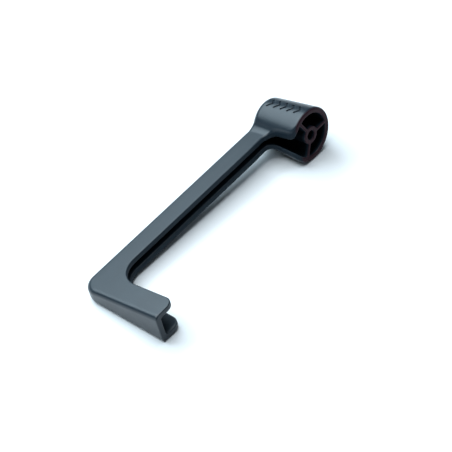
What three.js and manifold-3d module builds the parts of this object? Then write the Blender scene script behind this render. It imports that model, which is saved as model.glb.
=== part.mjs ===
// Winch handle: a one-piece moulded crank whose hub barrel holds a steel drive socket, kept on the
// winch spindle by a cap screw. The moulding is drafted along X, its pull direction, so its outer
// and inner walls all grow by DRAFT for each millimetre of X. It is symmetric about its mid-plane.
//
// The moulding is shaped whole, then parted on flat planes into its walls: the webs that run round
// the outside of the L, the flanges on both sides of them, the neck and the barrel.
//
// Local frame: X along the hub from the closed end to the open end, Y from the grip to the hub,
// Z across the thickness, with the grip's centre line at Y = 0 and the mid-plane at Z = 0.

import * as THREE from 'three';
import { mergeVertices } from 'three/addons/utils/BufferGeometryUtils.js';
import Module from 'manifold-3d';

// Driving dimensions, millimetres
const THROW = 203; // grip centre line to hub axis
const DRAFT = 0.091; // outward growth of every moulded wall per millimetre of X
const WALL = 4.5; // webs, flanges and barrel wall

const ARM_DEPTH = 18.6; // along X, web to rim
const ARM_HALF_HEIGHT = 5.6; // at X = 0, where the draft starts
const GRIP_LENGTH = 78; // along X
const GRIP_WIDTH = 19.8; // along Y
const OUTER_CORNER_RADIUS = 13;
const INNER_CORNER_RADIUS = 20;
const GRIP_END_RADIUS = 7.5;

const BARREL_LENGTH = 45;
const BARREL_SMALL_RADIUS = 18.4; // at X = 0
const BARREL_EDGE_RADIUS = 5;
const NECK_FILLET_RADIUS = 9; // between arm and barrel, at X = 0
const FLARE_RADIUS = 9; // rim of the arm turning into the side of the barrel
const BARREL_SIDE_CUT = 17.8; // flat side opening of the barrel, from the hub axis
const BARREL_CORNER_RADIUS = 6; // between the side opening and the open end
const BARREL_PARTING = 5; // past the hub axis, where the barrel's far walls start
const NECK_START = 174; // Y where the arm's flanges become the neck's
const ARM_START = 32; // Y where the grip's flanges become the arm's
const PARTING_STEP = 1.5; // from a wall's own face to the plane that parts it

const HUB_RADIUS = 7.2;
const HUB_BORE_RADIUS = 4;
const BOSS_RADIUS = 12; // thicker root of the hub, round the drive socket
const BOSS_END = 18; // X
const RIB_THICKNESS = 2.2;
const RIB_ANGLES = { rib_outer: 0, rib_upper: 116, rib_lower: -116 }; // degrees from +Y towards +Z

const SOCKET_RADIUS = 9;
const SOCKET_LENGTH = 15;
const SOCKET_SQUARE = 10; // across flats
const SOCKET_DEPTH = 12;
const SCREW_SHANK_RADIUS = 2; // M4
const SCREW_HEAD_RADIUS = 3.5;
const SCREW_HEAD_HEIGHT = 4;
const SCREW_LENGTH = 10; // under the head
const SCREW_KEY = 3; // hexagon across flats
const SCREW_KEY_DEPTH = 2;

const GAP = 0.3; // between pieces that touch
const OVERCUT = 10; // how far cutting shapes run past what they cut
const ROUND_SEGMENTS = 48;
const SMALL_SEGMENTS = 24;
const CORNER_SEGMENTS = 8;

const BARREL_LARGE_RADIUS = BARREL_SMALL_RADIUS + DRAFT * BARREL_LENGTH;
const HALF_GRIP = GRIP_WIDTH / 2;

const wasm = await Module();
wasm.setup();

// Closed three.js geometry to a solid, and back
function solid(geometry) {
  const bare = geometry.clone();
  bare.deleteAttribute('normal');
  bare.deleteAttribute('uv');
  const merged = mergeVertices(bare, 1e-5);
  return new wasm.Manifold(new wasm.Mesh({
    numProp: 3,
    vertProperties: new Float32Array(merged.attributes.position.array),
    triVerts: new Uint32Array(merged.index.array),
  }));
}

function geometryOf(body) {
  const mesh = body.getMesh();
  const geometry = new THREE.BufferGeometry();
  geometry.setAttribute('position', new THREE.BufferAttribute(mesh.vertProperties, 3));
  geometry.setIndex(new THREE.BufferAttribute(mesh.triVerts, 1));
  geometry.computeVertexNormals();
  return geometry;
}

// Box between two corners
function box(low, high) {
  const size = high.map((value, axis) => value - low[axis]);
  const centre = high.map((value, axis) => (value + low[axis]) / 2);
  return solid(new THREE.BoxGeometry(...size).translate(...centre));
}

// Outline in X and Y, run through the whole thickness
function planPrism(shape) {
  const reach = BARREL_LARGE_RADIUS + OVERCUT;
  const geometry = new THREE.ExtrudeGeometry(shape, {
    depth: 2 * reach,
    bevelEnabled: false,
    curveSegments: CORNER_SEGMENTS,
  });
  return solid(geometry.translate(0, 0, -reach));
}

// Profile of [radius, x] points turned about an axis along X at (y, z). It starts half a segment
// round, so that no edge lies on the mid-plane that parts the moulding.
function turned(profile, y, z, segments = ROUND_SEGMENTS) {
  const points = profile.map(([radius, x]) => new THREE.Vector2(radius, x));
  const geometry = new THREE.LatheGeometry(points, segments);
  geometry.rotateY(Math.PI / segments);
  return solid(geometry.rotateZ(-Math.PI / 2).translate(0, y, z));
}

// Taper along X whose radius follows the draft: growth is 1 on a solid and -1 on a hollow fillet
function draftedRound(radius, growth, from, to, y, z) {
  const atStart = radius + growth * DRAFT * from;
  const atEnd = radius + growth * DRAFT * to;
  return turned([[0, from], [atStart, from], [atEnd, to], [0, to]], y, z);
}

// Everything between two drafted planes, from one Y to another
function draftedWedge(halfHeight, from, to, yLow, yHigh) {
  const lowHalf = halfHeight + DRAFT * from;
  const highHalf = halfHeight + DRAFT * to;
  const shape = new THREE.Shape([
    new THREE.Vector2(from, -lowHalf),
    new THREE.Vector2(to, -highHalf),
    new THREE.Vector2(to, highHalf),
    new THREE.Vector2(from, lowHalf),
  ]);
  const geometry = new THREE.ExtrudeGeometry(shape, { depth: yHigh - yLow, bevelEnabled: false });
  return solid(geometry.rotateX(Math.PI / 2).translate(0, yHigh, 0));
}

// Filled corner between the arm's faces and the barrel, hollowed by a round on either side
function neck(inset, from, to) {
  const reach = BARREL_SMALL_RADIUS + NECK_FILLET_RADIUS;
  const height = ARM_HALF_HEIGHT + NECK_FILLET_RADIUS;
  const y = THROW - Math.sqrt(reach ** 2 - height ** 2);
  const shape = new THREE.Shape([
    new THREE.Vector2(y, -height),
    new THREE.Vector2(THROW, 0),
    new THREE.Vector2(y, height),
  ]);
  const geometry = new THREE.ExtrudeGeometry(shape, { depth: to - from, bevelEnabled: false });
  const axes = new THREE.Matrix4().makeBasis(
    new THREE.Vector3(0, 1, 0),
    new THREE.Vector3(0, 0, 1),
    new THREE.Vector3(1, 0, 0),
  );
  const filled = solid(geometry.applyMatrix4(axes).translate(from, 0, 0));
  const radius = NECK_FILLET_RADIUS + inset;
  const rounds = [height, -height].map((z) =>
    draftedRound(radius, -1, from - OVERCUT, to + OVERCUT, y, z));
  return filled.subtract(rounds[0]).subtract(rounds[1]);
}

// Outline of the whole handle, seen along the thickness
function outerPlan() {
  const cut = THROW - BARREL_SIDE_CUT;
  const end = THROW + BARREL_LARGE_RADIUS + OVERCUT;
  const shape = new THREE.Shape();
  shape.moveTo(0, -HALF_GRIP + OUTER_CORNER_RADIUS);
  shape.absarc(
    OUTER_CORNER_RADIUS, -HALF_GRIP + OUTER_CORNER_RADIUS, OUTER_CORNER_RADIUS,
    Math.PI, 1.5 * Math.PI, false,
  );
  shape.lineTo(GRIP_LENGTH, -HALF_GRIP);
  shape.absarc(
    GRIP_LENGTH - GRIP_END_RADIUS, HALF_GRIP - GRIP_END_RADIUS, GRIP_END_RADIUS,
    0, 0.5 * Math.PI, false,
  );
  shape.absarc(
    ARM_DEPTH + INNER_CORNER_RADIUS, HALF_GRIP + INNER_CORNER_RADIUS, INNER_CORNER_RADIUS,
    1.5 * Math.PI, Math.PI, true,
  );
  shape.absarc(
    ARM_DEPTH + FLARE_RADIUS, cut - FLARE_RADIUS, FLARE_RADIUS,
    Math.PI, 0.5 * Math.PI, true,
  );
  shape.absarc(
    BARREL_LENGTH - BARREL_CORNER_RADIUS, cut + BARREL_CORNER_RADIUS, BARREL_CORNER_RADIUS,
    1.5 * Math.PI, 2 * Math.PI, false,
  );
  shape.lineTo(BARREL_LENGTH, end);
  shape.lineTo(0, end);
  return shape;
}

// Outline of the hollow: it stays a wall's thickness inside the webs and runs past the open sides
function pocketPlan() {
  const radius = OUTER_CORNER_RADIUS - WALL;
  const far = GRIP_LENGTH + OVERCUT;
  const end = THROW + BARREL_LARGE_RADIUS + OVERCUT;
  const shape = new THREE.Shape();
  shape.moveTo(WALL, -HALF_GRIP + WALL + radius);
  shape.absarc(
    WALL + radius, -HALF_GRIP + WALL + radius, radius,
    Math.PI, 1.5 * Math.PI, false,
  );
  shape.lineTo(far, -HALF_GRIP + WALL);
  shape.lineTo(far, end);
  shape.lineTo(WALL, end);
  return shape;
}

// Barrel with its closed end rounded over
function barrelOuter() {
  const edge = BARREL_EDGE_RADIUS;
  const profile = [[0, 0]];
  for (let step = 0; step <= CORNER_SEGMENTS; step += 1) {
    const angle = (step / CORNER_SEGMENTS) * (Math.PI / 2 - Math.atan(DRAFT));
    const radius = BARREL_SMALL_RADIUS + DRAFT * edge - edge * (1 - Math.sin(angle));
    profile.push([radius, edge * (1 - Math.cos(angle))]);
  }
  profile.push([BARREL_LARGE_RADIUS, BARREL_LENGTH], [0, BARREL_LENGTH]);
  return turned(profile, THROW, 0);
}

function moulding() {
  const outer = draftedWedge(ARM_HALF_HEIGHT, 0, GRIP_LENGTH, -HALF_GRIP, THROW)
    .add(neck(0, BARREL_EDGE_RADIUS, BARREL_LENGTH))
    .add(barrelOuter())
    .intersect(planPrism(outerPlan()));
  const past = GRIP_LENGTH + OVERCUT;
  const pocket = draftedWedge(ARM_HALF_HEIGHT - WALL, WALL, past, -GRIP_WIDTH, THROW)
    .add(neck(WALL, WALL, past))
    .add(draftedRound(BARREL_SMALL_RADIUS - WALL, 1, WALL, past, THROW, 0))
    .intersect(planPrism(pocketPlan()));
  return outer.subtract(pocket);
}

// The moulding's walls, each the part of it between six flat planes. A plane keeps a step away
// from the faces of the moulding that run along it.
function mouldedWalls() {
  const whole = moulding();
  const far = 2 * THROW;
  const side = BARREL_LARGE_RADIUS + OVERCUT;
  const webEnd = WALL + PARTING_STEP;
  const gripWall = -HALF_GRIP + webEnd;
  const neckEnd = THROW - BARREL_SIDE_CUT - PARTING_STEP;
  const parting = THROW + BARREL_PARTING;
  const between = (x, y, z) => whole.intersect(box([x[0], y[0], z[0]], [x[1], y[1], z[1]]));
  const back = [-OVERCUT, webEnd];
  const front = [webEnd, far];
  const through = [-side, side];
  const upper = [0, side];
  const lower = [-side, 0];
  const socketHole = turned(
    [[0, -OVERCUT], [SOCKET_RADIUS + GAP, -OVERCUT], [SOCKET_RADIUS + GAP, OVERCUT], [0, OVERCUT]],
    THROW, 0,
  );
  return {
    grip_web: between([-OVERCUT, far], [-GRIP_WIDTH, gripWall], through),
    grip_flange_upper: between(front, [gripWall, ARM_START], upper),
    grip_flange_lower: between(front, [gripWall, ARM_START], lower),
    arm_web: between(back, [gripWall, NECK_START], through),
    arm_flange_upper: between(front, [ARM_START, NECK_START], upper),
    arm_flange_lower: between(front, [ARM_START, NECK_START], lower),
    neck_flange_upper: between(front, [NECK_START, neckEnd], upper),
    neck_flange_lower: between(front, [NECK_START, neckEnd], lower),
    barrel_end_wall: between(back, [NECK_START, far], through).subtract(socketHole),
    barrel_wall_upper: between(front, [neckEnd, parting], upper),
    barrel_wall_lower: between(front, [neckEnd, parting], lower),
    barrel_wall_far_upper: between(front, [parting, far], upper),
    barrel_wall_far_lower: between(front, [parting, far], lower),
  };
}

// Thicker root of the hub, counterbored for the drive socket
function hubRoot() {
  const seat = SOCKET_RADIUS + GAP;
  const floor = SOCKET_LENGTH + GAP;
  return turned([
    [seat, WALL],
    [BOSS_RADIUS, WALL],
    [BOSS_RADIUS, BOSS_END],
    [HUB_BORE_RADIUS, BOSS_END],
    [HUB_BORE_RADIUS, floor],
    [seat, floor],
    [seat, WALL],
  ], THROW, 0);
}

// Rest of the hub, a plain tube wide enough for the screw's head
function hubTube() {
  return turned([
    [HUB_BORE_RADIUS, BOSS_END],
    [HUB_RADIUS, BOSS_END],
    [HUB_RADIUS, BARREL_LENGTH],
    [HUB_BORE_RADIUS, BARREL_LENGTH],
    [HUB_BORE_RADIUS, BOSS_END],
  ], THROW, 0, SMALL_SEGMENTS);
}

// One rib from the hub to the barrel wall, drawn as radius and x, standing on its own axis
function rib() {
  const wallRadius = (x) => BARREL_SMALL_RADIUS - WALL + DRAFT * x - GAP;
  const foot = WALL + GAP;
  const shape = new THREE.Shape([
    new THREE.Vector2(foot, BOSS_RADIUS + GAP),
    new THREE.Vector2(BOSS_END + GAP, BOSS_RADIUS + GAP),
    new THREE.Vector2(BOSS_END + GAP, HUB_RADIUS + GAP),
    new THREE.Vector2(BARREL_LENGTH, HUB_RADIUS + GAP),
    new THREE.Vector2(BARREL_LENGTH, wallRadius(BARREL_LENGTH)),
    new THREE.Vector2(foot, wallRadius(foot)),
  ]);
  const geometry = new THREE.ExtrudeGeometry(shape, { depth: RIB_THICKNESS, bevelEnabled: false });
  return solid(geometry.translate(0, 0, -RIB_THICKNESS / 2));
}

// Steel socket, square inside, with a floor that the screw pulls on
function driveSocket() {
  const half = SOCKET_SQUARE / 2;
  const clearance = SCREW_SHANK_RADIUS + GAP;
  const blank = turned(
    [[0, 0], [SOCKET_RADIUS, 0], [SOCKET_RADIUS, SOCKET_LENGTH], [0, SOCKET_LENGTH]],
    0, 0,
  );
  const hole = turned(
    [[0, 0], [clearance, 0], [clearance, SOCKET_LENGTH + OVERCUT], [0, SOCKET_LENGTH + OVERCUT]],
    0, 0, SMALL_SEGMENTS,
  );
  return blank.subtract(box([-OVERCUT, -half, -half], [SOCKET_DEPTH, half, half])).subtract(hole);
}

// Cap screw along X with its head's underside at x = 0
function hubScrew() {
  const head = turned(
    [[0, 0], [SCREW_HEAD_RADIUS, 0], [SCREW_HEAD_RADIUS, SCREW_HEAD_HEIGHT], [0, SCREW_HEAD_HEIGHT]],
    0, 0, SMALL_SEGMENTS,
  );
  const shank = turned(
    [[0, -SCREW_LENGTH], [SCREW_SHANK_RADIUS, -SCREW_LENGTH], [SCREW_SHANK_RADIUS, 1], [0, 1]],
    0, 0, SMALL_SEGMENTS,
  );
  const keyBottom = SCREW_HEAD_HEIGHT - SCREW_KEY_DEPTH;
  const keyRadius = SCREW_KEY / Math.sqrt(3);
  const key = turned(
    [[0, keyBottom], [keyRadius, keyBottom], [keyRadius, OVERCUT], [0, OVERCUT]],
    0, 0, 6,
  );
  return head.add(shank).subtract(key);
}

// Materials
const plastic = { color: 0x2c3740, roughness: 0.5, metalness: 0 };
const steel = { color: 0xb4b6b8, roughness: 0.35, metalness: 1 };
const darkSteel = { color: 0x4a4c50, roughness: 0.4, metalness: 1 };

function piece(name, body, finish) {
  const mesh = new THREE.Mesh(geometryOf(body), new THREE.MeshStandardMaterial(finish));
  mesh.name = name;
  return mesh;
}

// The handle's origin goes to the middle of its footprint, on the surface it lies on
const group = new THREE.Group();
const lowY = -HALF_GRIP;
const highY = THROW + BARREL_LARGE_RADIUS;
group.position.set(-GRIP_LENGTH / 2, -(lowY + highY) / 2, BARREL_LARGE_RADIUS);

for (const [name, body] of Object.entries(mouldedWalls())) {
  group.add(piece(name, body, plastic));
}
group.add(piece('hub_root', hubRoot(), plastic));
group.add(piece('hub_tube', hubTube(), plastic));

for (const [name, angle] of Object.entries(RIB_ANGLES)) {
  const mesh = piece(name, rib(), plastic);
  mesh.position.set(0, THROW, 0);
  mesh.rotation.x = THREE.MathUtils.degToRad(angle);
  group.add(mesh);
}

const socket = piece('drive_socket', driveSocket(), steel);
socket.position.set(0, THROW, 0);
group.add(socket);

const screw = piece('hub_screw', hubScrew(), darkSteel);
screw.position.set(SOCKET_LENGTH + GAP, THROW, 0);
group.add(screw);

export default group;
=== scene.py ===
"""Winch handle: one plastic moulding with a steel drive socket and a hub screw.

The moulding is written as a signed distance in millimetres, in a local frame: x along the hub from
the closed end, y from the grip's centre line to the hub, z across the thickness. It is meshed on a
lattice that is fine where the shape is, pulled onto the exact surface, and cut into grip, arm and
barrel. The metal pieces are made the same way.
"""

import math

import bmesh
import bpy
import numpy as np
from mathutils import Matrix, Vector


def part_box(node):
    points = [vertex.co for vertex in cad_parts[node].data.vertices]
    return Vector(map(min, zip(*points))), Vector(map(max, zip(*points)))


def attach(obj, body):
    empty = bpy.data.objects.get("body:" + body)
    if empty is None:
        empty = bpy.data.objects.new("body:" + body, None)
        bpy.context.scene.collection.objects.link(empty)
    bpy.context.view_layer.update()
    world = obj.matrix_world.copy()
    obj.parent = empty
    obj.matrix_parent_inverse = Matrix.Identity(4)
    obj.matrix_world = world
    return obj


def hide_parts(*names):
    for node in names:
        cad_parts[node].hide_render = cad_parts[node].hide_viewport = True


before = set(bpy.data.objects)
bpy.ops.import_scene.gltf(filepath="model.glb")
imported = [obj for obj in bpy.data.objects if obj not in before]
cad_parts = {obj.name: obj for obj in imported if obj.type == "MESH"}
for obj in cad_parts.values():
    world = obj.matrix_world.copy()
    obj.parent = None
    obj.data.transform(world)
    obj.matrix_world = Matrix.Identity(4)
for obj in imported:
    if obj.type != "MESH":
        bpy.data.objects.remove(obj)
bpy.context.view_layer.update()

MM = 0.001

# Places that come from the frame, in metres
BACK_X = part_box("arm_web")[0][0]
GRIP_LOW_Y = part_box("grip_web")[0][1]
HUB_LOW, HUB_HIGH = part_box("hub_root")
HUB_Y = (HUB_LOW[1] + HUB_HIGH[1]) / 2
MID_Z = (HUB_LOW[2] + HUB_HIGH[2]) / 2

GRIP_WIDTH = 19.8
HALF_GRIP = GRIP_WIDTH / 2


def along_arm(place):
    """A place along Y in the frame, as millimetres from the grip's centre line."""
    return (place - GRIP_LOW_Y) / MM - HALF_GRIP


# The moulding, in millimetres
WALL = (HUB_LOW[0] - BACK_X) / MM
ARM_DEPTH = (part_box("arm_flange_upper")[1][0] - BACK_X) / MM
GRIP_LENGTH = (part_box("grip_web")[1][0] - BACK_X) / MM
BARREL_LENGTH = (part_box("barrel_wall_far_upper")[1][0] - BACK_X) / MM
BARREL_LARGE_RADIUS = (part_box("barrel_wall_far_upper")[1][1] - HUB_Y) / MM
ARM_START = along_arm(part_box("arm_flange_upper")[0][1])
NECK_START = along_arm(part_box("arm_flange_upper")[1][1])
THROW = along_arm(HUB_Y)
DRAFT = 0.091
ARM_HALF_HEIGHT = (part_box("grip_web")[1][2] - MID_Z) / MM - DRAFT * GRIP_LENGTH
BARREL_SMALL_RADIUS = BARREL_LARGE_RADIUS - DRAFT * BARREL_LENGTH
BARREL_SIDE_CUT = 17.8
SIDE_CUT_Y = THROW - BARREL_SIDE_CUT
OUTER_CORNER_RADIUS = 13.0
INNER_CORNER_RADIUS = 20.0
GRIP_END_RADIUS = 7.5
NECK_FILLET_RADIUS = 9.0
FLARE_RADIUS = 9.0
BARREL_CORNER_RADIUS = 6.0
HUB_RADIUS = 7.2
HUB_BORE_RADIUS = 4.0
BOSS_RADIUS = (HUB_HIGH[1] - HUB_LOW[1]) / 2 / MM
BOSS_END = 18.0
RIB_THICKNESS = 2.2
RIB_ANGLES = (0.0, 116.0, -116.0)
SEAT_RADIUS = 9.15
SEAT_DEPTH = 15.3

# Edge and corner radii of the moulding
WEB_EDGE = 3.6
RIM_EDGE = 1.0
BARREL_EDGE = 5.0
MOUTH_EDGE = 2.0
POCKET_CORNER = 1.6
CORE_FILLET = 0.8
CORE_EDGE = 0.5

# Engraved mark
MARK_START = 11.5
MARK_PITCH = 6.8
MARK_COUNT = 5
MARK_SLANT = 3.4
MARK_HALF_HEIGHT = 3.8
MARK_ASIDE = 1.0
MARK_STROKE = 1.8
MARK_DEPTH = 0.9
MARK_EDGE = 0.15

# Drive socket
SOCKET_RADIUS = 9.0
SOCKET_LENGTH = 15.0
SOCKET_SQUARE = 10.0
SOCKET_DEPTH = 12.0
SOCKET_RELIEF = 0.7
SOCKET_LEAD = 0.6
SOCKET_HOLE_RADIUS = 2.3
SOCKET_END_EDGE = 0.35
SOCKET_HOLE_EDGE = 0.15

# Hub screw
SCREW_SEAT = SEAT_DEPTH
SCREW_HEAD_HEIGHT = 4.0
SCREW_HEAD_RADIUS = 3.5
SCREW_HEAD_EDGE = 0.3
SCREW_SHANK_RADIUS = 2.0
SCREW_LENGTH = 10.0
SCREW_POINT_RADIUS = 1.4
SCREW_PITCH = 0.7
SCREW_THREAD_DEPTH = 0.2
SCREW_CREST_LOSS = 0.05
SCREW_KEY = 3.0
SCREW_KEY_DEPTH = 2.0
SCREW_KEY_EDGE = 0.1


def round_max(a, b, r):
    """Both shapes at once, with their shared edge rounded to r."""
    edge = np.hypot(np.maximum(r + a, 0), np.maximum(r + b, 0))
    return np.minimum(-r, np.maximum(a, b)) + edge


def round_min(a, b, r):
    """Either shape, with the corner between them filleted to r."""
    corner = np.hypot(np.maximum(r - a, 0), np.maximum(r - b, 0))
    return np.maximum(r, np.minimum(a, b)) - corner


def smooth_step(low, high, value):
    t = np.clip((value - low) / (high - low), 0, 1)
    return t * t * (3 - 2 * t)


def rim_distance(x, y):
    """Outline of the open sides, seen along the thickness: the rims and the ends of the walls."""
    grip = round_max(y - HALF_GRIP, x - GRIP_LENGTH, GRIP_END_RADIUS)
    barrel = round_max(SIDE_CUT_Y - y, x - BARREL_LENGTH, BARREL_CORNER_RADIUS)
    joined = round_min(x - ARM_DEPTH, grip, INNER_CORNER_RADIUS)
    return round_min(joined, barrel, FLARE_RADIUS)


def web_distance(x, y):
    """Outline of the closed sides, the webs that run round the outside of the L."""
    return round_max(-x, -y - HALF_GRIP, OUTER_CORNER_RADIUS)


def pocket_plan_distance(x, y):
    """Outline of the hollow, a wall's thickness inside the webs and open on the other sides."""
    return round_max(WALL - x, WALL - HALF_GRIP - y, OUTER_CORNER_RADIUS - WALL)


def profile_distance(x, y, z):
    """Outer faces of arm, neck fillets and barrel, without their ends: the draft moves them out
    with x, and a fillet's radius shrinks by as much."""
    grown = DRAFT * x
    height = np.abs(z)
    reach = BARREL_SMALL_RADIUS + NECK_FILLET_RADIUS
    fillet_z = ARM_HALF_HEIGHT + NECK_FILLET_RADIUS
    fillet_y = THROW - math.sqrt(reach**2 - fillet_z**2)
    barrel = np.hypot(y - THROW, height) - BARREL_SMALL_RADIUS - grown
    faces = height - ARM_HALF_HEIGHT - grown
    fillet = NECK_FILLET_RADIUS - grown - np.hypot(y - fillet_y, height - fillet_z)
    in_neck = (y > fillet_y) & (height * (THROW - fillet_y) < fillet_z * (THROW - y))
    joined = np.where(y < THROW, np.minimum(barrel, faces), barrel)
    return np.where(in_neck, fillet, joined) / math.hypot(1, DRAFT)


def hub_core_distance(x, y, z):
    """Hub tube with its thicker root, and the three ribs."""
    across = y - THROW
    radius = np.hypot(across, z)
    tube = radius - HUB_RADIUS
    boss = np.maximum(radius - BOSS_RADIUS, x - BOSS_END)
    core = round_min(tube, boss, 2 * CORE_FILLET)
    for angle in RIB_ANGLES:
        turn = math.radians(angle)
        out = across * math.cos(turn) + z * math.sin(turn)
        side = np.abs(z * math.cos(turn) - across * math.sin(turn))
        rib = np.maximum(side - RIB_THICKNESS / 2, -out)
        core = round_min(core, rib, CORE_FILLET)
    return core


def mark_distance(x, y, z):
    """Engraved row of chevrons along the top of the barrel, as a groove that runs in from it."""
    radius = np.hypot(y - THROW, z)
    around = np.arctan2(y - THROW, z) * radius - MARK_ASIDE
    best = np.inf
    for number in range(MARK_COUNT):
        tip = MARK_START + number * MARK_PITCH
        for side in (-1, 1):
            best = np.minimum(best, stroke_distance(
                x, around * side, (tip, 0), (tip - MARK_SLANT, MARK_HALF_HEIGHT),
            ))
    return np.where(z > 0, best - MARK_STROKE / 2, np.inf)


def stroke_distance(x, y, start, end):
    edge_x = end[0] - start[0]
    edge_y = end[1] - start[1]
    along = ((x - start[0]) * edge_x + (y - start[1]) * edge_y) / (edge_x**2 + edge_y**2)
    along = np.clip(along, 0, 1)
    return np.hypot(x - start[0] - along * edge_x, y - start[1] - along * edge_y)


def envelope_distance(x, y, profile):
    """Outside of the moulding, with its hollow filled."""
    rim = rim_distance(x, y)
    web = web_distance(x, y)
    on_barrel = smooth_step(THROW - 20, THROW - 12, y)
    past_arm = smooth_step(NECK_START - 12, NECK_START + 4, y)
    web_edge = WEB_EDGE + (BARREL_EDGE - WEB_EDGE) * on_barrel
    rim_edge = RIM_EDGE + (MOUTH_EDGE - RIM_EDGE) * past_arm
    edge = rim_edge + (web_edge - rim_edge) * smooth_step(-4, 1, web - rim)
    return round_max(profile, round_max(rim, web, RIM_EDGE), edge)


def moulding_distance(x, y, z):
    profile = profile_distance(x, y, z)
    radius = np.hypot(y - THROW, z)
    outer = envelope_distance(x, y, profile)
    pocket = round_max(profile + WALL, pocket_plan_distance(x, y), POCKET_CORNER)
    pocket = round_max(pocket, -hub_core_distance(x, y, z), CORE_FILLET)
    on_core = radius < BARREL_LARGE_RADIUS - WALL - 1
    body = round_max(outer, -pocket, np.where(on_core, CORE_EDGE, RIM_EDGE))

    seat = np.maximum(radius - SEAT_RADIUS, x - SEAT_DEPTH)
    body = round_max(body, -np.minimum(radius - HUB_BORE_RADIUS, seat), CORE_EDGE)
    groove = np.maximum(mark_distance(x, y, z), -profile - MARK_DEPTH)
    return round_max(body, -groove, MARK_EDGE)


# Meshing: a net of quads over a lattice, pulled onto the surface

def spaced(*stretches):
    """Lattice coordinates: each stretch is (from, to, largest step)."""
    values = [np.linspace(low, high, math.ceil((high - low) / step) + 1)[:-1]
              for low, high, step in stretches]
    return np.append(np.concatenate(values), stretches[-1][1])


def surface_net(distance, xs, ys, zs):
    """Vertices (N x 3) and quads (M x 4) round the region where distance is negative."""
    field = distance(xs[:, None, None], ys[None, :, None], zs[None, None, :])
    inside = field < 0
    cells = tuple(n - 1 for n in field.shape)
    offsets = [(i, j, k) for i in (0, 1) for j in (0, 1) for k in (0, 1)]
    count = sum(inside[i:i + cells[0], j:j + cells[1], k:k + cells[2]].astype(np.int8)
                for i, j, k in offsets)
    mixed = (count > 0) & (count < 8)
    at = np.array(np.nonzero(mixed))
    number = np.full(cells, -1, np.int64)
    number[mixed] = np.arange(at.shape[1])

    axes = (xs, ys, zs)
    total = np.zeros((at.shape[1], 3))
    hits = np.zeros(at.shape[1])
    for a in offsets:
        for axis in range(3):
            if a[axis]:
                continue
            b = list(a)
            b[axis] = 1
            start = [at[n] + a[n] for n in range(3)]
            end = [at[n] + b[n] for n in range(3)]
            low = field[tuple(start)]
            high = field[tuple(end)]
            cut = (low < 0) != (high < 0)
            share = np.where(cut, low / np.where(cut, low - high, 1), 0)
            for n in range(3):
                place = axes[n][start[n]] * (1 - share) + axes[n][end[n]] * share
                total[:, n] += np.where(cut, place, 0)
            hits += cut
    points = total / hits[:, None]

    quads = []
    for axis in range(3):
        u, v = (axis + 1) % 3, (axis + 2) % 3
        low = [slice(None)] * 3
        high = [slice(None)] * 3
        low[axis] = slice(None, -1)
        high[axis] = slice(1, None)
        for n in (u, v):
            low[n] = high[n] = slice(1, -1)
        first = inside[tuple(low)]
        changes = np.array(np.nonzero(first != inside[tuple(high)]))
        leaving = first[tuple(changes)]
        changes[u] += 1
        changes[v] += 1
        ring = []
        for du, dv in ((-1, -1), (0, -1), (0, 0), (-1, 0)):
            cell = changes.copy()
            cell[u] += du
            cell[v] += dv
            ring.append(number[tuple(cell)])
        ring = np.stack(ring, 1)
        ring[~leaving] = ring[~leaving][:, ::-1]
        quads.append(ring)
    return points, np.concatenate(quads)


def slope(distance, points, step=0.03):
    """Gradient of the distance at points."""
    result = np.empty_like(points)
    for axis in range(3):
        shift = np.zeros(3)
        shift[axis] = step
        result[:, axis] = distance(*(points + shift).T) - distance(*(points - shift).T)
    return result / (2 * step)


def pull_to_surface(distance, points, rounds=4, limit=0.4):
    for _ in range(rounds):
        gradient = slope(distance, points)
        size = np.maximum((gradient**2).sum(1), 0.25)
        move = -gradient * (distance(*points.T) / size)[:, None]
        length = np.maximum(np.linalg.norm(move, axis=1), 1e-9)
        points = points + move * np.minimum(1, limit / length)[:, None]
    return points


def bend(distance, points, reach=0.7):
    """How convex the surface is: above 0 on an outer edge, below 0 in a corner."""
    around = -6 * distance(*points.T)
    for axis in range(3):
        for sign in (-reach, reach):
            shift = np.zeros(3)
            shift[axis] = sign
            around = around + distance(*(points + shift).T)
    return around / reach**2


def to_world(points):
    origin = np.array([BACK_X, HUB_Y - THROW * MM, MID_Z])
    return points * MM + origin


def net_mesh(name, distance, xs, ys, zs):
    points, quads = surface_net(distance, xs, ys, zs)
    points = pull_to_surface(distance, points)
    mesh = bpy.data.meshes.new(name)
    mesh.from_pydata(to_world(points).tolist(), [], quads.tolist())
    mesh.validate()
    return mesh


def local_points(mesh):
    """The mesh's vertices in the local frame, in millimetres."""
    points = np.empty(len(mesh.vertices) * 3)
    mesh.vertices.foreach_get("co", points)
    return (points.reshape(-1, 3) - to_world(np.zeros(3))) / MM


def add_attribute(mesh, name, values):
    attribute = mesh.attributes.new(name, "FLOAT", "POINT")
    attribute.data.foreach_set("value", values.astype(np.float32))


def set_normals(mesh, distance):
    """Smooth normals straight from the surface, with flat ones on the faces that parted it."""
    points = local_points(mesh)
    normals = slope(distance, points)
    normals /= np.maximum(np.linalg.norm(normals, axis=1), 1e-9)[:, None]
    corners = np.empty(len(mesh.loops), np.int64)
    mesh.loops.foreach_get("vertex_index", corners)
    per_corner = normals[corners]
    for face in mesh.polygons:
        parted = abs(face.normal.y) > 0.999 and np.dot(normals[face.vertices[0]], face.normal) < 0.5
        if parted:
            per_corner[face.loop_start:face.loop_start + face.loop_total] = face.normal
    mesh.polygons.foreach_set("use_smooth", np.ones(len(mesh.polygons), bool))
    mesh.normals_split_custom_set(per_corner.tolist())
    add_attribute(mesh, "edge", np.clip(bend(distance, points), -2, 2))


# Materials

def material(name):
    made = bpy.data.materials.new(name)
    made.use_nodes = True
    tree = made.node_tree
    return made, tree, tree.nodes["Principled BSDF"]


def attribute_value(tree, name):
    made = tree.nodes.new("ShaderNodeAttribute")
    made.attribute_name = name
    return made.outputs["Fac"]


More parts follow.
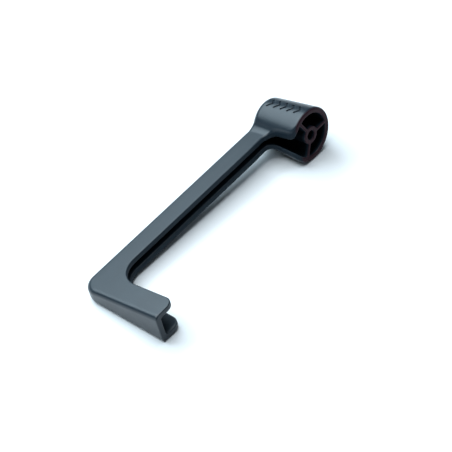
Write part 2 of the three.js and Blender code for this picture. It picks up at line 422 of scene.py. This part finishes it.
def noise(tree, scale, detail=4.0, roughness=0.5, stretch=(1, 1, 1)):
    """Noise in metres, fixed to the object."""
    place = tree.nodes.new("ShaderNodeTexCoord")
    shape = tree.nodes.new("ShaderNodeMapping")
    shape.inputs["Scale"].default_value = stretch
    made = tree.nodes.new("ShaderNodeTexNoise")
    made.inputs["Scale"].default_value = scale
    made.inputs["Detail"].default_value = detail
    made.inputs["Roughness"].default_value = roughness
    tree.links.new(place.outputs["Object"], shape.inputs["Vector"])
    tree.links.new(shape.outputs["Vector"], made.inputs["Vector"])
    return made.outputs["Fac"]


def spread(tree, value, low, high, out_low, out_high):
    """Value from one range to another, held at the ends."""
    made = tree.nodes.new("ShaderNodeMapRange")
    made.inputs["From Min"].default_value = low
    made.inputs["From Max"].default_value = high
    made.inputs["To Min"].default_value = out_low
    made.inputs["To Max"].default_value = out_high
    tree.links.new(value, made.inputs["Value"])
    return made.outputs["Result"]


def blend_colours(tree, share, first, second):
    made = tree.nodes.new("ShaderNodeMix")
    made.data_type = "RGBA"
    tree.links.new(share, made.inputs["Factor"])
    for value, socket in ((first, made.inputs[6]), (second, made.inputs[7])):
        if isinstance(value, tuple):
            socket.default_value = (*value, 1)
        else:
            tree.links.new(value, socket)
    return made.outputs[2]


def add(tree, first, second):
    made = tree.nodes.new("ShaderNodeMath")
    made.operation = "ADD"
    tree.links.new(first, made.inputs[0])
    tree.links.new(second, made.inputs[1])
    return made.outputs[0]


def bumped(tree, shader, height, strength, distance):
    made = tree.nodes.new("ShaderNodeBump")
    made.inputs["Strength"].default_value = strength
    made.inputs["Distance"].default_value = distance
    tree.links.new(height, made.inputs["Height"])
    tree.links.new(made.outputs["Normal"], shader.inputs["Normal"])


PLASTIC = (0.008, 0.016, 0.025)
PLASTIC_PALE = (0.011, 0.021, 0.031)
# paler colour for the painted highlight on convex edges
PLASTIC_EDGE_SHEEN = (0.024, 0.034, 0.043)
# warm tint painted on the barrel's open end as a painted reflection
PLASTIC_WARM_REFLECTION = (0.028, 0.010, 0.016)
# near-black colour painted inside the hollow as painted shade
PLASTIC_HOLLOW_SHADE = (0.002, 0.004, 0.006)
SATIN_SPECULAR = 0.47
CORE_SPECULAR = 0.10
DEEP_SPECULAR = 0.03


def plastic_material():
    """Moulded plastic: satin outside with faint flow clouds, convex edges painted paler as a
    painted highlight, a painted warm reflection on the barrel's open end, painted shade darkening
    the hollow, and dull on the rims and inside the hollow, where the mould's core is spark-eroded."""
    made, tree, shader = material("moulded_plastic")
    core_side = attribute_value(tree, "core_side")
    clouds = spread(tree, noise(tree, 45, 3, 0.6, (1, 0.35, 1)), 0.3, 0.7, 0, 1)
    grain = noise(tree, 700, 6, 0.7)
    # painted highlight: convex edges lightened towards a paler colour, broken up by noise
    sheen_breakup = spread(tree, noise(tree, 220, 4), 0.3, 0.7, -0.35, 0.1)
    edge_sheen = spread(tree, add(tree, attribute_value(tree, "edge"), sheen_breakup), 0.3, 1.2, 0, 0.5)
    colour = blend_colours(tree, clouds, PLASTIC, PLASTIC_PALE)
    colour = blend_colours(tree, edge_sheen, colour, PLASTIC_EDGE_SHEEN)
    # painted reflection: warm tint on the barrel's open end face
    colour = blend_colours(tree, attribute_value(tree, "end_face"), colour, PLASTIC_WARM_REFLECTION)
    # painted shade: colour darkened inside the hollow
    colour = blend_colours(tree, attribute_value(tree, "hollow"), colour, PLASTIC_HOLLOW_SHADE)
    tree.links.new(colour, shader.inputs["Base Color"])
    patches = spread(tree, noise(tree, 120, 5, 0.6), 0.25, 0.75, 0.28, 0.37)
    dullness = spread(tree, core_side, 0, 1, 0, 0.25)
    tree.links.new(add(tree, patches, dullness), shader.inputs["Roughness"])
    specular = spread(tree, core_side, 0, 1, SATIN_SPECULAR, CORE_SPECULAR)
    change = DEEP_SPECULAR - CORE_SPECULAR
    deep_loss = spread(tree, attribute_value(tree, "hollow"), 0, 1, 0, change)
    specular = add(tree, specular, deep_loss)
    tree.links.new(specular, shader.inputs["Specular IOR Level"])
    bumped(tree, shader, grain, 0.2, 0.0001)
    return made


def steel_material(name, colour, roughness):
    """Turned steel, with rings left by the tool round the hub's axis."""
    made, tree, shader = material(name)
    place = tree.nodes.new("ShaderNodeTexCoord")
    centre = tree.nodes.new("ShaderNodeMapping")
    centre.inputs["Location"].default_value = (0, -HUB_Y, -MID_Z)
    rings = tree.nodes.new("ShaderNodeTexWave")
    rings.wave_type = "RINGS"
    rings.rings_direction = "X"
    rings.inputs["Scale"].default_value = 900
    rings.inputs["Distortion"].default_value = 1.5
    rings.inputs["Detail"].default_value = 3
    tree.links.new(place.outputs["Object"], centre.inputs["Vector"])
    tree.links.new(centre.outputs["Vector"], rings.inputs["Vector"])
    stain = spread(tree, noise(tree, 350, 4), 0.35, 0.75, 0, 0.6)
    darker = tuple(0.6 * c for c in colour)
    tree.links.new(blend_colours(tree, stain, colour, darker), shader.inputs["Base Color"])
    patches = spread(tree, noise(tree, 700, 4), 0.3, 0.7, *roughness)
    tree.links.new(patches, shader.inputs["Roughness"])
    shader.inputs["Metallic"].default_value = 1
    bumped(tree, shader, rings.outputs["Fac"], 0.15, 0.00003)
    return made


# Pieces

def part_of(whole, name, low_y, high_y):
    """The stretch of a closed mesh between two planes across the arm, closed on them."""
    work = bmesh.new()
    work.from_mesh(whole)
    for place, outward in ((low_y, -1), (high_y, 1)):
        if place is None:
            continue
        plane = to_world(np.array([0, place, 0]))
        result = bmesh.ops.bisect_plane(
            work,
            geom=work.verts[:] + work.edges[:] + work.faces[:],
            dist=1e-7,
            plane_co=plane.tolist(),
            plane_no=(0, outward, 0),
            clear_outer=True,
        )
        rim = [item for item in result["geom_cut"] if isinstance(item, bmesh.types.BMEdge)]
        caps = bmesh.ops.edgeloop_fill(work, edges=rim)["faces"]
        bmesh.ops.triangulate(work, faces=caps)
    bmesh.ops.recalc_face_normals(work, faces=work.faces)
    mesh = bpy.data.meshes.new(name)
    work.to_mesh(mesh)
    work.free()
    return mesh


def mark_sides(mesh):
    """Attributes for the material: core_side, where the surface is a rim or inside the hollow,
    hollow, where it is inside and the colour is darkened as painted shade, and end_face, where it
    is the open end of the barrel and a warm reflection is painted."""
    x, y, z = local_points(mesh).T
    rim = smooth_step(-0.6, -0.2, rim_distance(x, y))
    inside = -envelope_distance(x, y, profile_distance(x, y, z))
    end_face = smooth_step(BARREL_LENGTH - 1.2, BARREL_LENGTH - 0.3, x)
    end_face = end_face * smooth_step(SIDE_CUT_Y, SIDE_CUT_Y + 6, y)
    grip_end = smooth_step(GRIP_LENGTH - 3, GRIP_LENGTH - 1, x)
    hollow = smooth_step(0.8, 4, inside) * smooth_step(NECK_START, SIDE_CUT_Y, y)
    core_side = np.maximum(rim, smooth_step(0.3, 1.5, inside)) * (1 - 0.6 * grip_end)
    add_attribute(mesh, "core_side", core_side)
    add_attribute(mesh, "hollow", hollow)
    add_attribute(mesh, "end_face", end_face)


def add_piece(mesh, finish, slot, *nodes):
    piece = bpy.data.objects.new(mesh.name, mesh)
    bpy.context.scene.collection.objects.link(piece)
    mesh.materials.append(finish)
    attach(piece, "root")
    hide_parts(*nodes)


def make_moulding():
    half = BARREL_LARGE_RADIUS
    xs = spaced(
        (-1.2, 6, 0.45), (6, 17, 0.6), (17, 21, 0.4), (21, 42, 0.6), (42, 46, 0.35),
        (46, GRIP_LENGTH - 9, 1.3), (GRIP_LENGTH - 9, GRIP_LENGTH + 0.8, 0.45),
    )
    ys = spaced(
        (-HALF_GRIP - 1, HALF_GRIP + 1, 0.45), (HALF_GRIP + 1, ARM_START + 1, 0.7),
        (ARM_START + 1, NECK_START - 1, 3), (NECK_START - 1, THROW - 6, 0.5),
        (THROW - 6, THROW + 7, 0.4), (THROW + 7, THROW + half + 1, 0.5),
    )
    zs = spaced((-half - 1, half - 4, 0.5), (half - 4, half + 0.6, 0.25))
    whole = net_mesh("moulding", moulding_distance, xs, ys, zs)
    finish = plastic_material()
    for name, low_y, high_y, nodes in (
        ("grip_moulding", None, ARM_START,
         ("grip_web", "grip_flange_upper", "grip_flange_lower")),
        ("arm_moulding", ARM_START, NECK_START,
         ("arm_web", "arm_flange_upper", "arm_flange_lower")),
        ("barrel_moulding", NECK_START, None,
         ("neck_flange_upper", "neck_flange_lower", "barrel_end_wall", "barrel_wall_upper",
          "barrel_wall_lower", "barrel_wall_far_upper", "barrel_wall_far_lower", "hub_root",
          "hub_tube", "rib_outer", "rib_upper", "rib_lower")),
    ):
        mesh = part_of(whole, name, low_y, high_y)
        set_normals(mesh, moulding_distance)
        mark_sides(mesh)
        add_piece(mesh, finish, "moulding", *nodes)
    bpy.data.meshes.remove(whole)


def socket_distance(x, y, z):
    """Steel insert: a turned blank with a square hole, relieved in its corners, and a floor."""
    across = y - THROW
    radius = np.hypot(across, z)
    half = SOCKET_SQUARE / 2
    ends = np.maximum(-x, x - SOCKET_LENGTH)
    blank = round_max(radius - SOCKET_RADIUS, ends, SOCKET_END_EDGE)
    square = np.maximum(np.abs(across), np.abs(z)) - half
    relief = np.hypot(np.abs(across) - half, np.abs(z) - half) - SOCKET_RELIEF
    lead = (radius - half * math.sqrt(2) + SOCKET_LEAD + x) / math.sqrt(2)
    broach = np.maximum(np.minimum(square, relief), x - SOCKET_DEPTH)
    hole = np.minimum(np.minimum(broach, lead), radius - SOCKET_HOLE_RADIUS)
    return round_max(blank, -hole, SOCKET_HOLE_EDGE)


def screw_distance(x, y, z):
    """Cap screw with a hexagon socket and a helical thread."""
    across = y - THROW
    radius = np.hypot(across, z)
    along = x - SCREW_SEAT
    head_ends = np.maximum(-along, along - SCREW_HEAD_HEIGHT)
    head = round_max(radius - SCREW_HEAD_RADIUS, head_ends, SCREW_HEAD_EDGE)
    turn = np.arctan2(z, across) / (2 * math.pi)
    thread = SCREW_THREAD_DEPTH * np.abs(2 * ((along / SCREW_PITCH - turn) % 1) - 1)
    threaded = smooth_step(-2.2, -3.2, along)
    shank = np.maximum(
        radius - SCREW_SHANK_RADIUS + SCREW_CREST_LOSS + thread * threaded,
        np.maximum(-along - SCREW_LENGTH, along - 1),
    )
    point = (radius - along - SCREW_LENGTH - SCREW_POINT_RADIUS) / math.sqrt(2)
    shank = np.maximum(shank, point)
    key = -np.inf
    for angle in (0, 60, 120):
        side = math.radians(angle)
        key = np.maximum(key, np.abs(across * math.cos(side) + z * math.sin(side)))
    key = np.maximum(key - SCREW_KEY / 2, SCREW_HEAD_HEIGHT - SCREW_KEY_DEPTH - along)
    return round_max(np.minimum(head, shank), -key, SCREW_KEY_EDGE)


def make_metal():
    radius = SOCKET_RADIUS + 0.6
    across = np.arange(THROW - radius, THROW + radius, 0.3)
    mesh = net_mesh(
        "drive_socket_steel", socket_distance,
        spaced((-0.6, 2, 0.25), (2, 11, 0.6), (11, SOCKET_LENGTH + 0.6, 0.3)),
        across, across - THROW,
    )
    set_normals(mesh, socket_distance)
    add_piece(mesh, steel_material("turned_steel", (0.56, 0.55, 0.53), (0.25, 0.38)),
              "socket_steel", "drive_socket")
    radius = SCREW_HEAD_RADIUS + 0.3
    across = np.arange(THROW - radius, THROW + radius, 0.14)
    mesh = net_mesh(
        "hub_screw_steel", screw_distance,
        np.arange(SCREW_SEAT - SCREW_LENGTH - 0.4, SCREW_SEAT + SCREW_HEAD_HEIGHT + 0.4, 0.12),
        across, across - THROW,
    )
    set_normals(mesh, screw_distance)
    add_piece(mesh, steel_material("dark_steel", (0.10, 0.10, 0.11), (0.30, 0.45)),
              "screw_steel", "hub_screw")


# Stage, light and camera

CAMERA_AZIMUTH = 51.4
CAMERA_ELEVATION = 41.1
CAMERA_ROLL = 16.4
CAMERA_DISTANCE = 1.1417
CAMERA_TARGET = (-0.0361, 0.0237, -0.0313)
CAMERA_LENS = 116.1


def camera_axes():
    """Right, up and back of the camera, in the row frame."""
    azimuth = math.radians(CAMERA_AZIMUTH)
    elevation = math.radians(CAMERA_ELEVATION)
    roll = math.radians(CAMERA_ROLL)
    back = Vector((
        math.sin(azimuth) * math.cos(elevation),
        -math.cos(azimuth) * math.cos(elevation),
        math.sin(elevation),
    ))
    level = Vector((0, 0, 1)).cross(back).normalized()
    upright = back.cross(level)
    right = level * math.cos(roll) - upright * math.sin(roll)
    return right, back.cross(right), back


def make_camera():
    right, up, back = camera_axes()
    data = bpy.data.cameras.new("camera")
    data.lens = CAMERA_LENS
    data.sensor_width = 36
    data.clip_end = 20
    camera = bpy.data.objects.new("camera", data)
    turn = Matrix((right, up, back)).transposed().to_4x4()
    camera.matrix_world = Matrix.Translation(Vector(CAMERA_TARGET) + back * CAMERA_DISTANCE) @ turn
    bpy.context.scene.collection.objects.link(camera)
    bpy.context.scene.camera = camera


FLOOR_CLEARANCE = 0.0001
FLOOR_HALF_SIZE = 3.0


def resting_plane():
    """A point and the normal of the surface that the handle lies on: it touches the barrel along
    its underside and the grip along its lower outer edge."""
    barrel_low = Vector((0, THROW, -BARREL_SMALL_RADIUS))
    grip_low = Vector((0, -HALF_GRIP, -ARM_HALF_HEIGHT))
    along_draft = Vector((1, 0, -DRAFT))
    normal = along_draft.cross(barrel_low - grip_low).normalized()
    return Vector(to_world(np.array(barrel_low))) - normal * FLOOR_CLEARANCE, normal


def make_floor():
    point, normal = resting_plane()
    mesh = bpy.data.meshes.new("floor")
    turn = normal.to_track_quat("Z", "Y")
    corners = [point + turn @ (Vector((x, y, 0)) * FLOOR_HALF_SIZE)
               for x, y in ((-1, -1), (1, -1), (1, 1), (-1, 1))]
    mesh.from_pydata(corners, [], [(0, 1, 2, 3)])
    floor = bpy.data.objects.new("floor", mesh)
    bpy.context.scene.collection.objects.link(floor)
    made, tree, shader = material("pale_floor")
    shader.inputs["Base Color"].default_value = (0.86, 0.88, 0.90, 1)
    shader.inputs["Roughness"].default_value = 0.9
    mesh.materials.append(made)


def area_light(name, place, aim, size, power, colour=(1, 1, 1)):
    data = bpy.data.lights.new(name, "AREA")
    data.shape = "RECTANGLE"
    data.size, data.size_y = size
    data.energy = power
    data.color = colour
    light = bpy.data.objects.new(name, data)
    light.location = place
    light.rotation_euler = (Vector(aim) - Vector(place)).to_track_quat("-Z", "Y").to_euler()
    bpy.context.scene.collection.objects.link(light)


def make_light():
    world = bpy.data.worlds.new("studio")
    bpy.context.scene.world = world
    world.use_nodes = True
    background = world.node_tree.nodes["Background"]
    background.inputs["Color"].default_value = (0.8, 0.92, 1.0, 1)
    background.inputs["Strength"].default_value = 0.1
    area_light("left", (-0.93, 0.04, 1.05), (0, 0, 0), (1.7, 0.65), 17.2, (0.72, 0.90, 1.0))
    area_light("overhead", (-0.3, 0, 1.87), (0, 0, 0), (2.0, 2.0), 57, (0.86, 0.95, 1.0))
    bpy.context.scene.view_settings.view_transform = "Standard"


make_camera()
make_moulding()
make_metal()
make_floor()
make_light()
